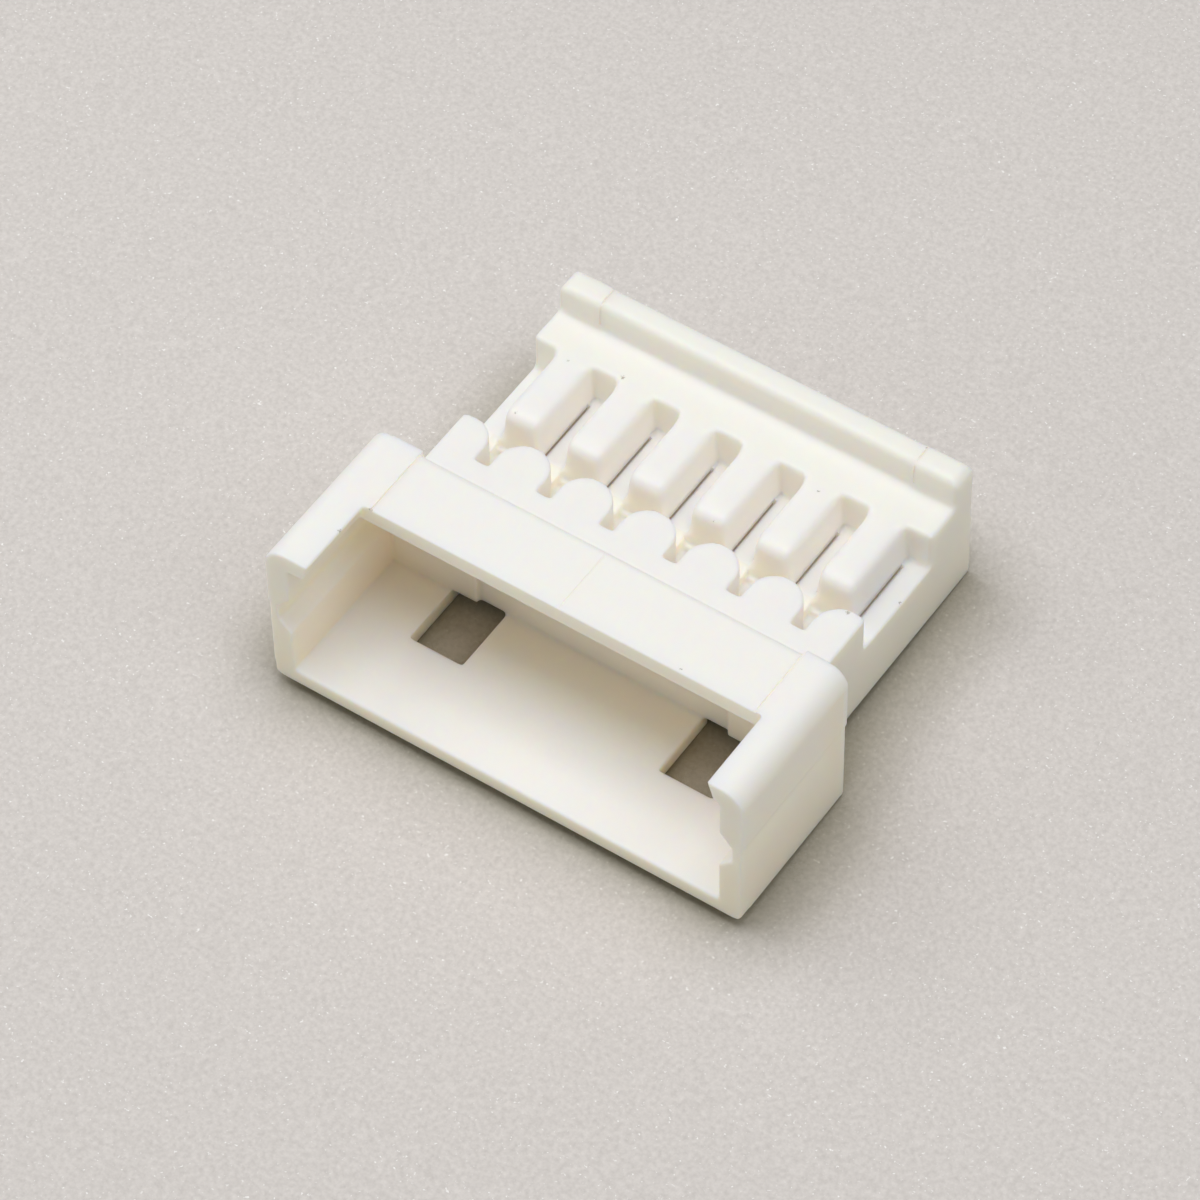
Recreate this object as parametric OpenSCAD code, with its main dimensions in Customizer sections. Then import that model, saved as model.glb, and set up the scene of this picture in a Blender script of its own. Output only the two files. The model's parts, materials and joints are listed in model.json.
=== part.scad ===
// Receptacle housing of a small wire-to-wire connector, moulded in one piece.
// Sizes are in millimetres. X runs along the row of circuits, Y from the
// mating mouth to the wire end, and Z up. The origin is at the middle of the base.

/* [Row of circuits] */
// Number of circuits in the row
circuits = 6; // [3:1:12]
// Distance from one circuit to the next
pitch = 1.25; // [1.1:0.05:1.8]

/* [Shroud] */
// Height of the shroud
shroud_h = 3.3; // [3.1:0.05:4]
// Depth of the shroud, from the mouth to its rear face
shroud_d = 3.1; // [2.7:0.05:4]
// How far each side of the shroud stands out from the body
shroud_step = 0.69; // [0.6:0.01:0.9]
// Thickness of the shroud's side walls
side_wall = 0.45; // [0.4:0.025:0.55]
// Thickness of the shroud's floor, which is also the height of the body's underside
floor_t = 0.33; // [0.25:0.01:0.45]
// Thickness of the shroud's roof
roof_t = 0.38; // [0.3:0.01:0.5]
// How far the middle of the roof is set back from the mouth
roof_setback = 1.6; // [1.2:0.05:2]
// Width of the roof strip left along each side wall
lip_w = 0.78; // [0.65:0.01:0.9]
// Sideways offset of the gap in the roof and of its witness lines
opening_shift = 0.1; // [0:0.01:0.15]
// Slant of the inner face of each strip
lip_slant = 0.12; // [0.05:0.01:0.2]
// Radius of the outer top edges
top_round = 0.4; // [0.2:0.05:0.5]
// Radius of the rear edge of the roof's middle
roof_round = 0.22; // [0.05:0.01:0.3]
// Radius of the outer bottom edges
bottom_round = 0.1; // [0.05:0.05:0.3]
// Height of the mould's parting line
parting_z = 1.93; // [1.7:0.01:2.1]
// How far the half above the parting line stands out
parting_step = 0.03; // [0.01:0.01:0.06]
// Depth of the witness step between the roof's middle and its side strips
roof_witness = 0.02; // [0.01:0.01:0.04]

/* [Mating cavity] */
// Thickness of the cavity's end wall between the windows
end_wall = 0.16; // [0.12:0.01:0.3]
// Extra thickness of the end wall outside the middle of each window
end_wall_step = 0.1; // [0.05:0.01:0.15]
// Depth of the keying groove in each side wall
key_d = 0.25; // [0.15:0.01:0.3]
// Height of the keying groove's middle
key_z = 1.72; // [1.5:0.01:1.9]
// Height of the keying groove at its bottom
key_bottom = 0.34; // [0.25:0.01:0.45]
// Height of the keying groove at its mouth
key_mouth = 0.86; // [0.6:0.01:1]
// Width of each latch window in the floor
window_w = 1.05; // [0.8:0.05:1.2]
// Distance from the mouth to the front edge of the windows
window_y = 1.63; // [1.3:0.01:2]

/* [Body] */
// Length of the flat strip behind the shroud
strip_d = 0.86; // [0.6:0.01:1.1]
// Width of the notch in front of each lance
notch_w = 0.29; // [0.2:0.01:0.4]
// Straight length of each notch
notch_d = 0.28; // [0.2:0.01:0.5]
// Thickness of the end walls of the row
row_wall = 0.395; // [0.35:0.005:0.5]
// Depth of the bar that carries the lances
bar_d = 0.74; // [0.6:0.01:0.9]
// Depth of the rear rib
rib_d = 0.54; // [0.4:0.01:0.7]
// Height of the rear rib above the bar
rib_h = 0.6; // [0.4:0.01:0.7]
// Radius of the rib's top edges
rib_round = 0.14; // [0.05:0.01:0.18]
// Radius of the top edge at each end of the rib
rib_end_round = 0.2; // [0.1:0.05:0.3]
// How far the rib's middle stands back from its two ends
rib_witness = 0.03; // [0.01:0.01:0.05]

/* [Terminal cavities] */
// Thickness of the partitions between circuits
partition_t = 0.34; // [0.3:0.01:0.45]
// Thickness under the terminal cavities
cavity_floor = 0.3; // [0.2:0.01:0.4]
// Height of the terminal cavities
cavity_h = 1.09; // [0.9:0.01:1.2]
// Thickness over the terminal cavities
ceiling_t = 0.78; // [0.65:0.01:0.85]
// Width of each contact hole in the end wall
contact_w = 0.56; // [0.4:0.01:0.65]
// Height of each contact hole in the end wall
contact_h = 0.34; // [0.25:0.01:0.38]
// Height of the contact holes' middle
contact_z = 1.25; // [1.15:0.01:1.27]
// Lead-in at the wire end of each cavity
lead_in = 0.1; // [0.05:0.01:0.13]

/* [Lances] */
// Clearance on each side of a lance, below the tops of the partitions
lance_clear = 0.05; // [0.03:0.005:0.08]
// How far each side of a lance leans in from there to its top
lance_draft = 0.06; // [0.02:0.01:0.1]
// Length of each lance
lance_l = 1.67; // [1.4:0.01:1.9]
// Gap between the partition ends and the lance tips
lance_gap = 0.33; // [0.15:0.01:0.4]
// Height of the shelf in front of each lance
shelf_z = 1.5; // [1.47:0.01:1.6]
// Thickness of each lance where it joins the bar
lance_root = 0.72; // [0.5:0.01:0.77]
// Thickness of each lance at its tip
lance_tip = 0.95; // [0.85:0.01:1.1]
// Radius of the top edge of each lance tip
lance_round = 0.18; // [0.05:0.01:0.25]

/* [Hidden] */
$fn = 48;
eps = 0.2;
nylon = [0.95, 0.94, 0.90];

row_half = circuits * pitch / 2;
cavity_w = pitch - partition_t;
lance_half = cavity_w / 2 - lance_clear;
body_half = row_half - partition_t / 2 + row_wall;
shroud_half = body_half + shroud_step;
mouth_half = shroud_half - side_wall;
lip_x = shroud_half - lip_w;
window_x = row_half - pitch;

cavity_z = floor_t + cavity_floor;
ledge_z = cavity_z + cavity_h;
body_top = ledge_z + ceiling_t;
rib_top = body_top + rib_h;
roof_z = shroud_h - roof_t;
roof_top = shroud_h - roof_witness;

wall_y = shroud_d - end_wall;
block_y = wall_y - end_wall_step;
tongue_r = (pitch - notch_w) / 2;
notch_y = shroud_d + strip_d;
tongue_y = notch_y + notch_d;
tip_y = tongue_y + tongue_r + lance_gap;
shelf_y = tip_y - lance_clear;
bar_y = tip_y + lance_l;
rib_y = bar_y + bar_d;
depth = rib_y + rib_d;

module housing() {
    color(nylon)
    translate([0, -depth / 2, 0])
    union() {
        difference() {
            union() {
                shroud();
                body();
            }
            latch_windows();
            for (i = [0:circuits - 1]) {
                translate([circuit_x(i), 0, 0]) terminal_cavity();
            }
            lance_well();
        }
        for (i = [0:circuits - 1]) {
            translate([circuit_x(i), 0, 0]) lance();
        }
    }
}

// Middle of circuit i, counted from the left
function circuit_x(i) = -row_half + (i + 0.5) * pitch;

// Extrudes an outline in X and Z from y0 to y1
module along_y(y0, y1) {
    translate([0, y1, 0]) rotate([90, 0, 0]) linear_extrude(y1 - y0) children();
}

// Extrudes an outline in Y and Z over a width, centred on X
module along_x(w) {
    translate([-w / 2, 0, 0]) rotate([90, 0, 90]) linear_extrude(w) children();
}

// The wide front part: floor, side walls, roof and end wall around the mating cavity
module shroud() {
    difference() {
        along_y(0, shroud_d) shroud_outline();
        mating_cavity();
        translate([opening_shift, 0, 0]) {
            along_y(-eps, roof_setback) roof_opening();
            translate([-row_half, -eps, roof_top])
                cube([2 * row_half, shroud_d + 2 * eps, roof_witness + eps]);
            along_x(2 * row_half) roof_rear_edge();
        }
    }
}

module shroud_outline() {
    lower = shroud_half - parting_step;
    translate([-lower + bottom_round, 0]) square([2 * (lower - bottom_round), parting_z]);
    translate([-lower, bottom_round]) square([2 * lower, parting_z - bottom_round]);
    translate([-shroud_half, parting_z]) square([2 * shroud_half, shroud_h - top_round - parting_z]);
    translate([-shroud_half + top_round, parting_z])
        square([2 * (shroud_half - top_round), shroud_h - parting_z]);
    for (s = [-1, 1]) {
        translate([s * (lower - bottom_round), bottom_round]) circle(bottom_round);
        translate([s * (shroud_half - top_round), shroud_h - top_round]) circle(top_round);
    }
}

// Room for the mating part, with a thicker end wall and a keying groove at each side
module mating_cavity() {
    translate([0, 0, floor_t]) linear_extrude(roof_z - floor_t) polygon([
        [-mouth_half, -eps],
        [mouth_half, -eps],
        [mouth_half, block_y],
        [window_x, block_y],
        [window_x, wall_y],
        [-window_x, wall_y],
        [-window_x, block_y],
        [-mouth_half, block_y]
    ]);
    for (s = [0, 1]) {
        mirror([s, 0, 0])
        along_y(-eps, block_y) polygon([
            [mouth_half - eps, key_z - key_mouth / 2],
            [mouth_half, key_z - key_mouth / 2],
            [mouth_half + key_d, key_z - key_bottom / 2],
            [mouth_half + key_d, key_z + key_bottom / 2],
            [mouth_half, key_z + key_mouth / 2],
            [mouth_half - eps, key_z + key_mouth / 2]
        ]);
    }
}

// Section of the gap in the roof at the mouth
module roof_opening() {
    polygon([
        [-lip_x - lip_slant, roof_z - eps],
        [lip_x + lip_slant, roof_z - eps],
        [lip_x + lip_slant, roof_z],
        [lip_x, shroud_h],
        [lip_x, shroud_h + eps],
        [-lip_x, shroud_h + eps],
        [-lip_x, shroud_h],
        [-lip_x - lip_slant, roof_z]
    ]);
}

// What the rounding takes off the rear edge of the roof
module roof_rear_edge() {
    difference() {
        translate([shroud_d - roof_round, roof_top - roof_round]) square(roof_round + eps);
        translate([shroud_d - roof_round, roof_top - roof_round]) circle(roof_round);
    }
}

// The narrower part that holds the terminals, with the rib across its rear
module body() {
    translate([-body_half, wall_y, floor_t])
        cube([2 * body_half, depth - wall_y, body_top - floor_t]);
    rib();
}

// The rib, with a witness step at the middle of the first and of the last circuit
module rib() {
    end_l = body_half + circuit_x(0);
    intersection() {
        union() {
            along_x(2 * body_half) rib_outline(rib_witness);
            for (s = [-1, 1]) {
                translate([s * (body_half - end_l / 2), 0, 0]) along_x(end_l) rib_outline(0);
            }
        }
        along_y(rib_y - eps, depth + eps) rib_front_outline();
    }
}

// Section of the rib, set back by a step at its front and its top
module rib_outline(step) {
    front = rib_y + step;
    top = rib_top - step;
    translate([front, body_top - eps]) square([depth - front, top - rib_round - body_top + eps]);
    translate([front + rib_round, body_top]) square([depth - front - 2 * rib_round, top - body_top]);
    for (y = [front + rib_round, depth - rib_round]) {
        translate([y, top - rib_round]) circle(rib_round);
    }
}

// The rib seen from the front, with rounded ends
module rib_front_outline() {
    inner = body_half - rib_end_round;
    translate([-body_half, body_top - 2 * eps]) square([2 * body_half, rib_h - rib_end_round + 2 * eps]);
    translate([-inner, body_top]) square([2 * inner, rib_h]);
    for (s = [-1, 1]) {
        translate([s * inner, rib_top - rib_end_round]) circle(rib_end_round);
    }
}

// Two windows in the floor for the latches of the mating part, open to the rear
module latch_windows() {
    for (s = [-1, 1]) {
        translate([s * window_x - window_w / 2, window_y, -eps]) {
            cube([window_w, block_y - window_y, floor_t + 2 * eps]);
            cube([window_w, shroud_d + eps - window_y, floor_t + eps]);
        }
    }
}

// Room for one terminal, with its contact hole and the lead-in at the wire end
module terminal_cavity() {
    translate([-cavity_w / 2, shelf_y, cavity_z])
        cube([cavity_w, depth + eps - shelf_y, cavity_h]);
    translate([-contact_w / 2, block_y - eps, contact_z - contact_h / 2])
        cube([contact_w, shelf_y - block_y + 2 * eps, contact_h]);
    intersection() {
        along_x(2 * pitch) polygon([
            [depth - lead_in, cavity_z],
            [depth + eps, cavity_z - lead_in - eps],
            [depth + eps, ledge_z + lead_in + eps],
            [depth - lead_in, ledge_z]
        ]);
        linear_extrude(shroud_h) polygon([
            [-cavity_w / 2, depth - lead_in],
            [cavity_w / 2, depth - lead_in],
            [cavity_w / 2 + lead_in + eps, depth + eps],
            [-cavity_w / 2 - lead_in - eps, depth + eps]
        ]);
    }
}

// The well around the lances, deeper in front of each lance
module lance_well() {
    translate([0, 0, ledge_z]) linear_extrude(ceiling_t + eps) well_outline();
    translate([0, 0, shelf_z]) linear_extrude(ceiling_t) intersection() {
        well_outline();
        for (i = [0:circuits - 1]) {
            translate([circuit_x(i) - lance_half, notch_y - eps])
                square([2 * lance_half, shelf_y - notch_y + 2 * eps]);
        }
    }
}

// Plan of the well, with a round-ended partition between the notches
module well_outline() {
    difference() {
        translate([-body_half - eps, tongue_y]) square([2 * (body_half + eps), bar_y - tongue_y]);
        for (i = [0:circuits]) {
            translate([-row_half + i * pitch, tongue_y]) circle(tongue_r);
        }
    }
    for (i = [0:circuits - 1]) {
        translate([circuit_x(i) - notch_w / 2, notch_y]) square([notch_w, notch_d + eps]);
    }
}

// One sprung lance, thicker at its tip, where it holds the terminal, and narrower at its top
module lance() {
    top_half = lance_half - lance_draft;
    intersection() {
        along_x(pitch) lance_side();
        along_y(tip_y - eps, bar_y + 2 * eps) polygon([
            [-lance_half, cavity_z],
            [lance_half, cavity_z],
            [lance_half, ledge_z],
            [top_half, body_top],
            [-top_half, body_top],
            [-lance_half, ledge_z]
        ]);
    }
}

// One lance seen from the side
module lance_side() {
    polygon([
        [tip_y, body_top - lance_tip],
        [bar_y + eps, body_top - lance_root],
        [bar_y + eps, body_top],
        [tip_y + lance_round, body_top],
        [tip_y, body_top - lance_round]
    ]);
    translate([tip_y + lance_round, body_top - lance_round]) circle(lance_round);
}

housing();
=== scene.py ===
import json
import math

import bpy
from mathutils import Matrix, Vector

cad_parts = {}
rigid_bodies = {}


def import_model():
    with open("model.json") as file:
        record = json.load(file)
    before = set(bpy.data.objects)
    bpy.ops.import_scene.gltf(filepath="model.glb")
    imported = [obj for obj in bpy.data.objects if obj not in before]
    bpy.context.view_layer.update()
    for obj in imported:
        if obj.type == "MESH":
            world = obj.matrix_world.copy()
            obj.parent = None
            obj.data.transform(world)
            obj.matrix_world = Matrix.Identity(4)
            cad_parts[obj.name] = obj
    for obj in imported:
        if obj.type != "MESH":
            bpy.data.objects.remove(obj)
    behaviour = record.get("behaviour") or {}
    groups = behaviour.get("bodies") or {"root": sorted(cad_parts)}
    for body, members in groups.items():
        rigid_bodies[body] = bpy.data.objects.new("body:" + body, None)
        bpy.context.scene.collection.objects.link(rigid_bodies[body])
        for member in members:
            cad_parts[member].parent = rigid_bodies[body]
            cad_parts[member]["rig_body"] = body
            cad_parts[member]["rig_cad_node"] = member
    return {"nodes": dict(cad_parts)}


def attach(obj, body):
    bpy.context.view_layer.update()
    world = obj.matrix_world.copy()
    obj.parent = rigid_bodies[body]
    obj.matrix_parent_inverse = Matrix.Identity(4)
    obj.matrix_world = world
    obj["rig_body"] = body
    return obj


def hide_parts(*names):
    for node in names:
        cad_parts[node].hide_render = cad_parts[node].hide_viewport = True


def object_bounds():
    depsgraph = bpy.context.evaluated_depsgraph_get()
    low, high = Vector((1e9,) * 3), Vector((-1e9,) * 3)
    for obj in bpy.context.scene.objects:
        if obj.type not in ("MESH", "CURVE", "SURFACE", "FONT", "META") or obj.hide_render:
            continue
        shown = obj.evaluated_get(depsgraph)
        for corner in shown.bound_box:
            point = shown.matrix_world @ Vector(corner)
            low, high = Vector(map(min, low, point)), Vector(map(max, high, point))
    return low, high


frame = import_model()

cad_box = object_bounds()

MM = 0.001

# The moulding is worked on in millimetres and scaled to metres at the end.
MERGE = 0.0001
SKIN_CELL = 0.03
SKIN_TRIANGLES = 130000
SHARP_ANGLE = math.radians(50)
FLAT_WEIGHT = 50

# How many times the whole skin is smoothed, and then the raised rear, the lances and the front lip.
EDGE_STEPS = 6
RAISED_STEPS = 30
LANCE_STEPS = 150
LIP_STEPS = 25
SMOOTHING = 0.5

# The limits of that extra smoothing lie a little outside the faces it takes in, and clear of the ledge.
SLACK = 0.01
CLEAR_OF_LEDGE = 0.05

# Places on the housing, in millimetres in the shared frame.
MOUTH_FRONT = cad_box[0][1] / MM
MOUTH_REAR = -1.05
LIP_REACH = 0.31
LIP_TOP = 0.36
ROOF_FRONT = -2.4
ROOF_REAR = -0.9
ROOF_UNDER = 2.93
ROOF_TOP = 3.28
BODY_LIFT = 0.33
FLANK_X = 3.9
INNER_X = 3.7
CIRCUITS = 6
PITCH = 1.25
OUTER_CIRCUIT = (CIRCUITS - 1) / 2 * PITCH
NOTCH_FRONT = 0.3
SHELF_Z = 1.5
LEDGE_Z = 1.72
LANCE_FRONT = 1.05
LANCE_REAR = 2.7
LANCE_HALF = 0.405
RIB_FRONT = 3.46
RIB_REAR = cad_box[1][1] / MM
RIB_TOP = 3.1

# The slits beside the lances and the fine seams. A cutter runs past the surface that it opens.
SLIT = 0.05
SLIT_DEPTH = 0.08
SLIT_REAR = 2.5
LEFT_SLIT_LATER = 0.2
SEAM = 0.025
ROOF_SEAMS = (-3.65, 0.06, 3.85)
RIB_SEAMS = (-OUTER_CIRCUIT, OUTER_CIRCUIT)
RIB_SEAM_DROP = 0.5
PAST = 0.1

# The fills that close the hairlines round a lance reach a little into the walls on both sides.
FRONT_FILL_REAR = 0.06
GAP_FILL_INNER = 0.03
GAP_FILL_OUTER = 0.08
GAP_FILL_FRONT = 0.02
GAP_FILL_DEPTH = 0.25
GAP_FILL_DROP = 0.01

# The nylon's own two tones and dark flecks, with painted warm shade and painted shade in the slits laid over
# it.
IVORY = ((0.98, 0.942, 0.885), (0.99, 0.952, 0.905))
WARM_PAINTED_SHADE = (0.97, 0.855, 0.70)
SLIT_SHADE = (0.60, 0.53, 0.44)
FLECK_GREY = (0.42, 0.38, 0.31)

# Where painted warm shade lies on the nylon: from a place to a place in millimetres, and from an amount to
# an amount.
PAINTED_SHADE_SIDES = (2.6, 0.4, 0.4, 0.75)
PAINTED_SHADE_MOUTH = (-2.5, -1.3, 0.0, 0.75)
PAINTED_SHADE_REAR = (2.3, 2.8, 0.0, 0.2)
PAINTED_SHADE_NOTCH = (2.3, 1.6, 0.0, 0.35)

# A face counts as upright as its normal turns from the first height to the second.
UPRIGHT = (0.8, 0.2)

# How far the painted shade runs past the forms that it follows, or stops short of them.
SHROUD_MARGIN = 0.05
SLIT_SIDE_MARGIN = 0.015
SLIT_TOP_MARGIN = 0.01
SLIT_REAR_MARGIN = 0.03
SLIT_FOOT = 1.2

# The grains, by how many repeats they have in a metre.
NYLON_CLOUD = 420.0
NYLON_GRAIN = 9000.0
FLECK_GRAIN = 30000.0
GROUND_GRAIN = 12000.0
SPECK_GRAIN = 16000.0

# Small dark flecks, each with its place and its radius.
FLECKS = (
    ((-3.29, 1.18, 2.49), 0.05),
    ((-0.28, 1.17, 2.48), 0.05),
    ((0.74, 1.07, 2.41), 0.04),
    ((1.87, 2.52, 2.50), 0.03),
    ((-3.18, 2.59, 2.50), 0.04),
    ((-2.20, 2.79, 2.50), 0.05),
    ((3.66, 0.65, 2.50), 0.05),
    ((3.94, 1.83, 1.72), 0.04),
    ((2.39, -2.33, 3.28), 0.03),
    ((-3.61, -0.95, 3.30), 0.06),
    ((-3.81, -3.04, 3.30), 0.05),
    ((-3.65, -2.40, 3.30), 0.06),
    ((-3.17, 3.98, 3.08), 0.06),
    ((3.09, 3.90, 3.10), 0.05),
)
FLECK_RAGGED = 0.12
FLECK_CORE = 0.25
FLECK_DARKEST = 0.8

# The pale ground, with painted shade where it lies hemmed in, in the narrow space under the housing.
GROUND_TONES = ((0.55, 0.517, 0.488), (0.84, 0.799, 0.766))
GROUND_SPECK = (0.95, 0.93, 0.91)
GROUND_PAINTED_SHADE = (0.46, 0.455, 0.35)
PAINTED_SHADE_REACH = 1.7

# The housing leans back on the rear edges of its shroud and its body, so the ground rises to meet them.
GROUND_TOUCH_Y = ROOF_REAR
GROUND_LEAN = math.atan2(BODY_LIFT, RIB_REAR - GROUND_TOUCH_Y)
GROUND_SLOPE_REACH = 14.0
GROUND_HALF = 160.0
GROUND_ROWS = 320

# Soft lamps that point at the origin, each with its place in millimetres and its power.
SKY_STRENGTH = 0.28
LAMP_SIZE = 70
LAMPS = (
    ("top_softbox", (0, 0, 120), 0.058),
    ("left_softbox", (-77, 0, 92), 0.031),
    ("right_fill", (77, 0, 92), 0.022),
    ("front_left_fill", (-81, -81, 37), 0.0125),
)

CAMERA_AZIMUTH = 35.073
CAMERA_ELEVATION = 51.474
CAMERA_ROLL = -1.134
CAMERA_PLACE = (35.742, -52.048, 80.276)
CAMERA_SENSOR = 36.0
CAMERA_LENS = 183.17
CAMERA_CLIP = (5, 2000)

# Pale nylon passes light on many times in its recesses.
BOUNCES = 12
DIFFUSE_BOUNCES = 8


def only(obj):
    bpy.ops.object.select_all(action="DESELECT")
    obj.select_set(True)
    bpy.context.view_layer.objects.active = obj


def apply_modifier(obj, kind, **settings):
    only(obj)
    mod = obj.modifiers.new(kind.lower(), kind)
    for key, value in settings.items():
        setattr(mod, key, value)
    bpy.ops.object.modifier_apply(modifier=mod.name)


def block(x, y, z):
    """A box between pairs of limits."""
    bpy.ops.object.select_all(action="DESELECT")
    bpy.ops.mesh.primitive_cube_add(size=1, location=[(a + b) / 2 for a, b in (x, y, z)])
    made = bpy.context.active_object
    made.scale = [b - a for a, b in (x, y, z)]
    return made


def join(pieces, into):
    bpy.ops.object.select_all(action="DESELECT")
    for piece in pieces:
        piece.select_set(True)
    bpy.context.view_layer.objects.active = into
    bpy.ops.object.join()


def cut(skin, blocks):
    cutter = blocks[0]
    join(blocks, cutter)
    bpy.ops.object.transform_apply(location=True, rotation=True, scale=True)
    apply_modifier(skin, "BOOLEAN", operation="DIFFERENCE", solver="EXACT", object=cutter)
    only(cutter)
    bpy.ops.object.delete()


def circuit_middles():
    return [i * PITCH - OUTER_CIRCUIT for i in range(CIRCUITS)]


def close_round_lances(skin):
    """Fills the hairlines round each lance: the front one doesn't show, and the slits are cut anew later."""
    fills = []
    for middle in circuit_middles():
        fills.append(block(
            (middle - LANCE_HALF, middle + LANCE_HALF),
            (LANCE_FRONT - PAST, LANCE_FRONT + FRONT_FILL_REAR),
            (SHELF_Z - PAST, SHELF_Z + PAST),
        ))
        for side in (-1, 1):
            inner = middle + side * (LANCE_HALF - GAP_FILL_INNER)
            outer = middle + side * (LANCE_HALF + GAP_FILL_OUTER)
            fills.append(block(
                sorted((inner, outer)),
                (LANCE_FRONT + GAP_FILL_FRONT, LANCE_REAR),
                (LEDGE_Z - GAP_FILL_DEPTH, LEDGE_Z - GAP_FILL_DROP),
            ))
    join(fills + [skin], skin)


def soften(skin):
    """Rounds all edges a little, and the raised rear, the lances and the front lip more."""
    apply_modifier(skin, "SMOOTH", factor=SMOOTHING, iterations=EDGE_STEPS)
    raised = (LEDGE_Z + CLEAR_OF_LEDGE, RIB_TOP + SLACK)
    rear_start = LANCE_FRONT - PAST - SLACK
    for name, steps, y, z in (
        ("raised", RAISED_STEPS, (rear_start, RIB_REAR + SLACK), raised),
        ("lances", LANCE_STEPS, (rear_start, LANCE_REAR - PAST + SLACK), raised),
        ("lip", LIP_STEPS, (MOUTH_FRONT - SLACK, MOUTH_FRONT + LIP_REACH), (-SLACK, LIP_TOP)),
    ):
        group = skin.vertex_groups.new(name=name)
        chosen = [v.index for v in skin.data.vertices if y[0] < v.co.y < y[1] and z[0] < v.co.z < z[1]]
        group.add(chosen, 1.0, "REPLACE")
        apply_modifier(skin, "SMOOTH", factor=SMOOTHING, iterations=steps, vertex_group=name)
    skin.vertex_groups.clear()


def slits_and_seams(skin):
    """The narrow slits beside the lances and the fine seams that the mould leaves."""
    cuts = []
    for middle in circuit_middles():
        for side, front in ((-1, LANCE_FRONT + LEFT_SLIT_LATER), (1, LANCE_FRONT)):
            x = sorted((middle + side * LANCE_HALF, middle + side * (LANCE_HALF + SLIT)))
            cuts.append(block(x, (front, SLIT_REAR), (LEDGE_Z - SLIT_DEPTH, LEDGE_Z + PAST)))
    half = SEAM / 2
    for x in ROOF_SEAMS:
        cuts.append(block((x - half, x + half), (ROOF_FRONT, ROOF_REAR), (ROOF_TOP - half, ROOF_TOP + PAST)))
    deep = 2 * SEAM
    for x in RIB_SEAMS:
        z = (RIB_TOP - deep, RIB_TOP + PAST)
        cuts.append(block((x - half, x + half), (RIB_FRONT, RIB_REAR + PAST), z))
    cut(skin, cuts)
    fronts = []
    for x in RIB_SEAMS:
        y = (RIB_FRONT - PAST, RIB_FRONT + deep)
        fronts.append(block((x - half, x + half), y, (RIB_TOP - RIB_SEAM_DROP, RIB_TOP)))
    cut(skin, fronts)


def moulded_skin():
    """The CAD housing with the soft edges that the moulding has."""
    only(frame["nodes"]["housing"])
    bpy.ops.object.duplicate()
    skin = bpy.context.active_object
    skin.name = "housing_moulding"
    skin.data.name = "housing_moulding"
    skin.parent = None
    del skin["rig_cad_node"]
    del skin["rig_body"]
    bpy.ops.transform.resize(value=(1 / MM, 1 / MM, 1 / MM))
    bpy.ops.object.transform_apply(location=False, rotation=False, scale=True)
    bpy.ops.object.mode_set(mode="EDIT")
    bpy.ops.mesh.select_all(action="SELECT")
    bpy.ops.mesh.remove_doubles(threshold=MERGE)
    bpy.ops.object.mode_set(mode="OBJECT")
    close_round_lances(skin)
    apply_modifier(skin, "REMESH", mode="VOXEL", voxel_size=SKIN_CELL, use_smooth_shade=True)
    soften(skin)
    apply_modifier(skin, "DECIMATE", ratio=SKIN_TRIANGLES / (2 * len(skin.data.polygons)))
    slits_and_seams(skin)
    only(skin)
    bpy.ops.transform.resize(value=(MM, MM, MM))
    bpy.ops.object.transform_apply(location=False, rotation=False, scale=True)
    bpy.ops.object.shade_smooth_by_angle(angle=SHARP_ANGLE)
    apply_modifier(skin, "WEIGHTED_NORMAL", mode="FACE_AREA", weight=FLAT_WEIGHT, keep_sharp=True)
    return skin


def new_material(name):
    mat = bpy.data.materials.new(name)
    mat.use_nodes = True
    return mat, mat.node_tree, mat.node_tree.nodes["Principled BSDF"]


def node(tree, kind, place, inputs, **settings):
    """A shader node with its settings, and with a value or a link on each input that is given."""
    made = tree.nodes.new(kind)
    made.location = place
    for key, value in settings.items():
        setattr(made, key, value)
    for name, value in inputs.items():
        if isinstance(value, bpy.types.NodeSocket):
            tree.links.new(value, made.inputs[name])
        else:
            made.inputs[name].default_value = value
    return made


def noise(tree, place, spot, scale, detail=2.0):
    return node(tree, "ShaderNodeTexNoise", place, {"Vector": spot, "Scale": scale, "Detail": detail})


def maths(tree, place, operation, *values):
    return node(tree, "ShaderNodeMath", place, dict(enumerate(values)), operation=operation).outputs["Value"]


def combined(tree, place, operation, values):
    """All values taken together, such as their product or the largest of them."""
    total = values[0]
    for i, value in enumerate(values[1:]):
        total = maths(tree, (place[0], place[1] + 150 * i), operation, total, value)
    return total


def tests(tree, place, limits):
    """For each limit in millimetres, one on its right side and zero elsewhere."""
    return [
        maths(tree, (place[0], place[1] + 150 * i), test, value, limit * MM)
        for i, (test, value, limit) in enumerate(limits)
    ]


def ramp(tree, place, value, start, end, low=0.0, high=1.0, **settings):
    """Goes from low to high as the value goes from start to end."""
    inputs = {"Value": value, "From Min": start, "From Max": end, "To Min": low, "To Max": high}
    return node(tree, "ShaderNodeMapRange", place, inputs, **settings).outputs["Result"]


def painted_shade_ramp(tree, place, value, warm):
    start, end, low, high = warm
    return ramp(tree, place, value, start * MM, end * MM, low, high)


def layer(tree, place, under, colour, amount, **settings):
    """A colour laid over another by an amount that changes over the surface."""
    if not isinstance(under, bpy.types.NodeSocket):
        under = (*under, 1)
    inputs = {"A": under, "B": (*colour, 1), "Factor": amount}
    return node(tree, "ShaderNodeMix", place, inputs, data_type="RGBA", **settings).outputs["Result"]


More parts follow.
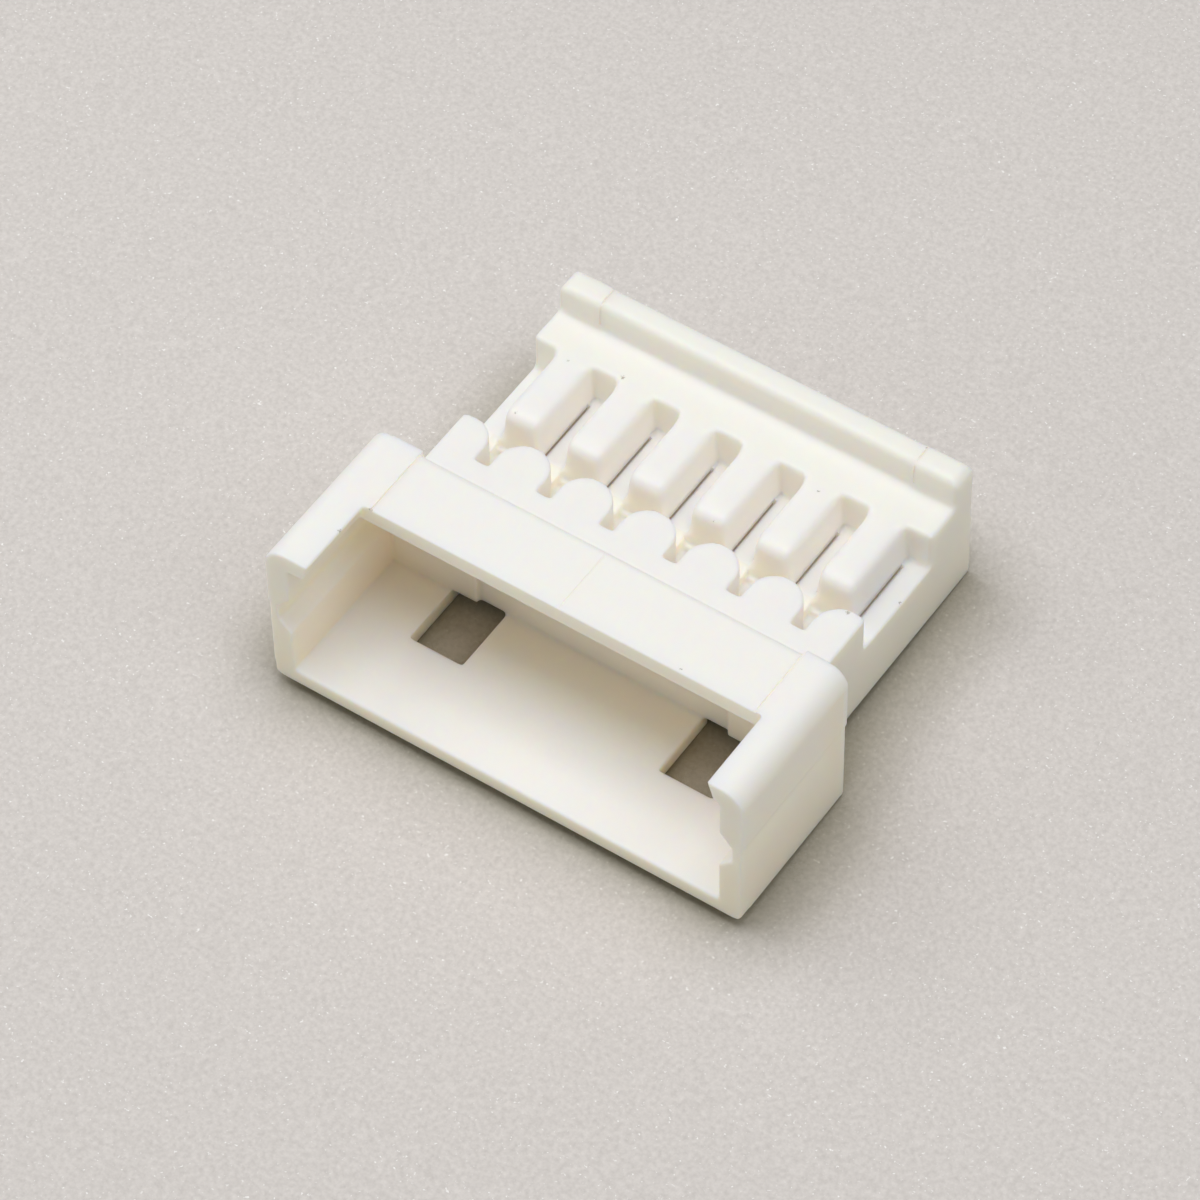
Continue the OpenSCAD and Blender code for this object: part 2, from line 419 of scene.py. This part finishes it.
def flecks(tree, spot):
    """Strongest at the middle of each fleck, falling to zero at its ragged edge."""
    ragged = noise(tree, (-1000, 900), spot, FLECK_GRAIN)
    shift = (FLECK_RAGGED * MM,) * 3
    moved = node(
        tree, "ShaderNodeVectorMath", (-800, 900), {0: ragged.outputs["Color"], 1: shift, 2: spot},
        operation="MULTIPLY_ADD",
    )
    marks = []
    for i, (middle, radius) in enumerate(FLECKS):
        row = 900 + 180 * i
        target = [(c + FLECK_RAGGED / 2) * MM for c in middle]
        away = node(
            tree, "ShaderNodeVectorMath", (-600, row), {0: moved.outputs["Vector"], 1: target},
            operation="DISTANCE",
        )
        reach = radius * MM
        marks.append(ramp(
            tree, (-400, row), away.outputs["Value"], FLECK_CORE * reach, reach, FLECK_DARKEST, 0.0,
            interpolation_type="SMOOTHSTEP",
        ))
    return combined(tree, (-200, 900), "MAXIMUM", marks)


def painted_shade_masks(tree, coords):
    """How much painted warm shade lies at each place, and where painted shade goes on the walls of the
    slits.
    """
    spot = node(tree, "ShaderNodeSeparateXYZ", (-1900, -600), {"Vector": coords.outputs["Object"]})
    facing = node(tree, "ShaderNodeSeparateXYZ", (-1900, -800), {"Vector": coords.outputs["Normal"]})
    x, y, z = (spot.outputs[axis] for axis in "XYZ")
    upright = ramp(tree, (-1700, -800), facing.outputs["Z"], *UPRIGHT)
    from_centre = maths(tree, (-1700, -250), "ABSOLUTE", x)

    shroud_or_flank = combined(tree, (-1300, -400), "MAXIMUM", tests(tree, (-1500, -400), (
        ("LESS_THAN", y, ROOF_REAR + SHROUD_MARGIN),
        ("GREATER_THAN", from_centre, FLANK_X),
    )))
    low = painted_shade_ramp(tree, (-1700, -600), z, PAINTED_SHADE_SIDES)
    sides = combined(tree, (-1100, -600), "MULTIPLY", (upright, low, shroud_or_flank))

    inside = tests(tree, (-1500, 50), (("LESS_THAN", y, MOUTH_REAR), ("LESS_THAN", z, ROOF_UNDER)))
    deep = painted_shade_ramp(tree, (-1700, -100), y, PAINTED_SHADE_MOUTH)
    mouth = combined(tree, (-1300, 50), "MULTIPLY", inside + [deep])

    rear = painted_shade_ramp(tree, (-1700, 350), y, PAINTED_SHADE_REAR)

    between = tests(tree, (-1500, 500), (
        ("LESS_THAN", from_centre, INNER_X),
        ("GREATER_THAN", y, NOTCH_FRONT),
        ("LESS_THAN", y, LANCE_FRONT + FRONT_FILL_REAR),
    ))
    low = painted_shade_ramp(tree, (-1700, 500), z, PAINTED_SHADE_NOTCH)
    notch = combined(tree, (-1300, 500), "MULTIPLY", [low] + between)
    warm_shade_amount = combined(tree, (-900, -400), "MAXIMUM", (sides, mouth, rear, notch))

    # Painted shade on the walls of the slits beside the lances, where little light reaches.
    half_pitch = PITCH / 2 * MM
    shifted = maths(tree, (-1700, -1000), "SUBTRACT", x, half_pitch)
    from_middle = maths(tree, (-1500, -1000), "PINGPONG", shifted, half_pitch)
    slit_shade_amount = combined(tree, (-1100, -1900), "MULTIPLY", [upright] + tests(tree, (-1300, -1900), (
        ("LESS_THAN", from_centre, INNER_X),
        ("GREATER_THAN", from_middle, LANCE_HALF - SLIT_SIDE_MARGIN),
        ("LESS_THAN", z, LEDGE_Z - SLIT_TOP_MARGIN),
        ("GREATER_THAN", z, SLIT_FOOT),
        ("GREATER_THAN", y, LANCE_FRONT),
        ("LESS_THAN", y, SLIT_REAR - SLIT_REAR_MARGIN),
    )))
    return warm_shade_amount, slit_shade_amount


def nylon():
    """Satin ivory nylon that light soaks into."""
    mat, tree, shader = new_material("ivory_nylon")
    coords = node(tree, "ShaderNodeTexCoord", (-1200, 0), {})
    spot = coords.outputs["Object"]

    cloud = noise(tree, (-900, 200), spot, NYLON_CLOUD, 4.0)
    warm_shade_amount, slit_shade_amount = painted_shade_masks(tree, coords)
    colour = layer(tree, (-500, 200), *IVORY, cloud.outputs["Fac"])
    # Painted warm shade on the low upright sides, deep in the mouth, towards the rear and in the notches,
    # then painted shade on the walls of the slits.
    colour = layer(tree, (-400, 350), colour, WARM_PAINTED_SHADE, warm_shade_amount)
    colour = layer(tree, (-250, 350), colour, SLIT_SHADE, slit_shade_amount)
    colour = layer(tree, (-100, 350), colour, FLECK_GREY, flecks(tree, spot))
    tree.links.new(colour, shader.inputs["Base Color"])

    height = noise(tree, (-900, -250), spot, NYLON_GRAIN, 3.0).outputs["Fac"]
    relief = {"Strength": 0.25, "Distance": 0.006 * MM, "Height": height}
    bump = node(tree, "ShaderNodeBump", (-500, -250), relief)
    tree.links.new(bump.outputs["Normal"], shader.inputs["Normal"])
    tree.links.new(ramp(tree, (-500, -20), height, 0.0, 1.0, 0.40, 0.52), shader.inputs["Roughness"])

    shader.inputs["Subsurface Weight"].default_value = 1.0
    shader.inputs["Subsurface Radius"].default_value = (1.0, 0.8, 0.5)
    shader.inputs["Subsurface Scale"].default_value = 0.3 * MM
    shader.inputs["IOR"].default_value = 1.52
    return mat


def grained_ground():
    """Pale matte ground with a fine grain, small bright specks and painted shade where it is hemmed in under
    the housing.
    """
    mat, tree, shader = new_material("pale_ground")
    spot = node(tree, "ShaderNodeTexCoord", (-1100, 0), {}).outputs["Object"]
    height = noise(tree, (-850, 100), spot, GROUND_GRAIN, 3.0).outputs["Fac"]
    speck = noise(tree, (-850, -120), spot, SPECK_GRAIN)
    bright = ramp(tree, (-650, -120), speck.outputs["Fac"], 0.67, 0.74)
    # Painted shade: the ground turns darker where little open sky reaches it, under and beside the housing.
    open_sky = node(tree, "ShaderNodeAmbientOcclusion", (-850, 400), {"Distance": PAINTED_SHADE_REACH * MM}, samples=2)
    ground_shade_amount = ramp(tree, (-650, 400), open_sky.outputs["AO"], 0.95, 0.5)

    colour = layer(tree, (-450, 100), *GROUND_TONES, height)
    colour = layer(tree, (-320, 100), colour, GROUND_SPECK, bright)
    colour = layer(tree, (-200, 100), colour, GROUND_PAINTED_SHADE, ground_shade_amount, blend_type="MULTIPLY")
    tree.links.new(colour, shader.inputs["Base Color"])
    relief = {"Strength": 0.4, "Distance": 0.02 * MM, "Height": height}
    bump = node(tree, "ShaderNodeBump", (-450, -200), relief)
    tree.links.new(bump.outputs["Normal"], shader.inputs["Normal"])
    shader.inputs["Roughness"].default_value = 0.75
    return mat


def ground():
    """A sheet that rises gently under the leaning housing and runs level further out."""
    bpy.ops.object.select_all(action="DESELECT")
    bpy.ops.mesh.primitive_grid_add(x_subdivisions=2, y_subdivisions=GROUND_ROWS, size=2 * GROUND_HALF * MM)
    sheet = bpy.context.active_object
    sheet.name = "ground"
    slope = math.tan(GROUND_LEAN)
    for v in sheet.data.vertices:
        along = GROUND_SLOPE_REACH * math.tanh(v.co.y / MM / GROUND_SLOPE_REACH)
        v.co.z = slope * (along - GROUND_TOUCH_Y) * MM
    bpy.ops.object.shade_smooth()
    sheet.data.materials.append(grained_ground())


def studio():
    world = bpy.data.worlds.new("studio")
    world.use_nodes = True
    sky = world.node_tree.nodes["Background"]
    sky.inputs["Color"].default_value = (1.0, 1.0, 1.0, 1)
    sky.inputs["Strength"].default_value = SKY_STRENGTH
    bpy.context.scene.world = world
    for name, place, power in LAMPS:
        bpy.ops.object.light_add(type="AREA", location=[c * MM for c in place])
        light = bpy.context.active_object
        light.name = name
        light.data.shape = "SQUARE"
        light.data.size = LAMP_SIZE * MM
        light.data.energy = power
        light.rotation_euler = (-Vector(place)).to_track_quat("-Z", "Y").to_euler()


def camera():
    data = bpy.data.cameras.new("photo_view")
    data.sensor_width = CAMERA_SENSOR
    data.lens = CAMERA_LENS
    data.clip_start, data.clip_end = (c * MM for c in CAMERA_CLIP)
    cam = bpy.data.objects.new("photo_view", data)
    bpy.context.scene.collection.objects.link(cam)
    turn = (
        Matrix.Rotation(math.radians(CAMERA_AZIMUTH), 3, "Z")
        @ Matrix.Rotation(math.radians(90 - CAMERA_ELEVATION), 3, "X")
        @ Matrix.Rotation(math.radians(CAMERA_ROLL), 3, "Z")
    )
    cam.rotation_euler = turn.to_euler()
    cam.location = [c * MM for c in CAMERA_PLACE]
    bpy.context.scene.camera = cam


camera()
ground()
studio()

housing = moulded_skin()
housing.data.materials.clear()
housing.data.materials.append(nylon())
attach(housing, "root")
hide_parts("housing")

bpy.context.scene.view_settings.view_transform = "Standard"
bpy.context.scene.cycles.max_bounces = BOUNCES
bpy.context.scene.cycles.diffuse_bounces = DIFFUSE_BOUNCES
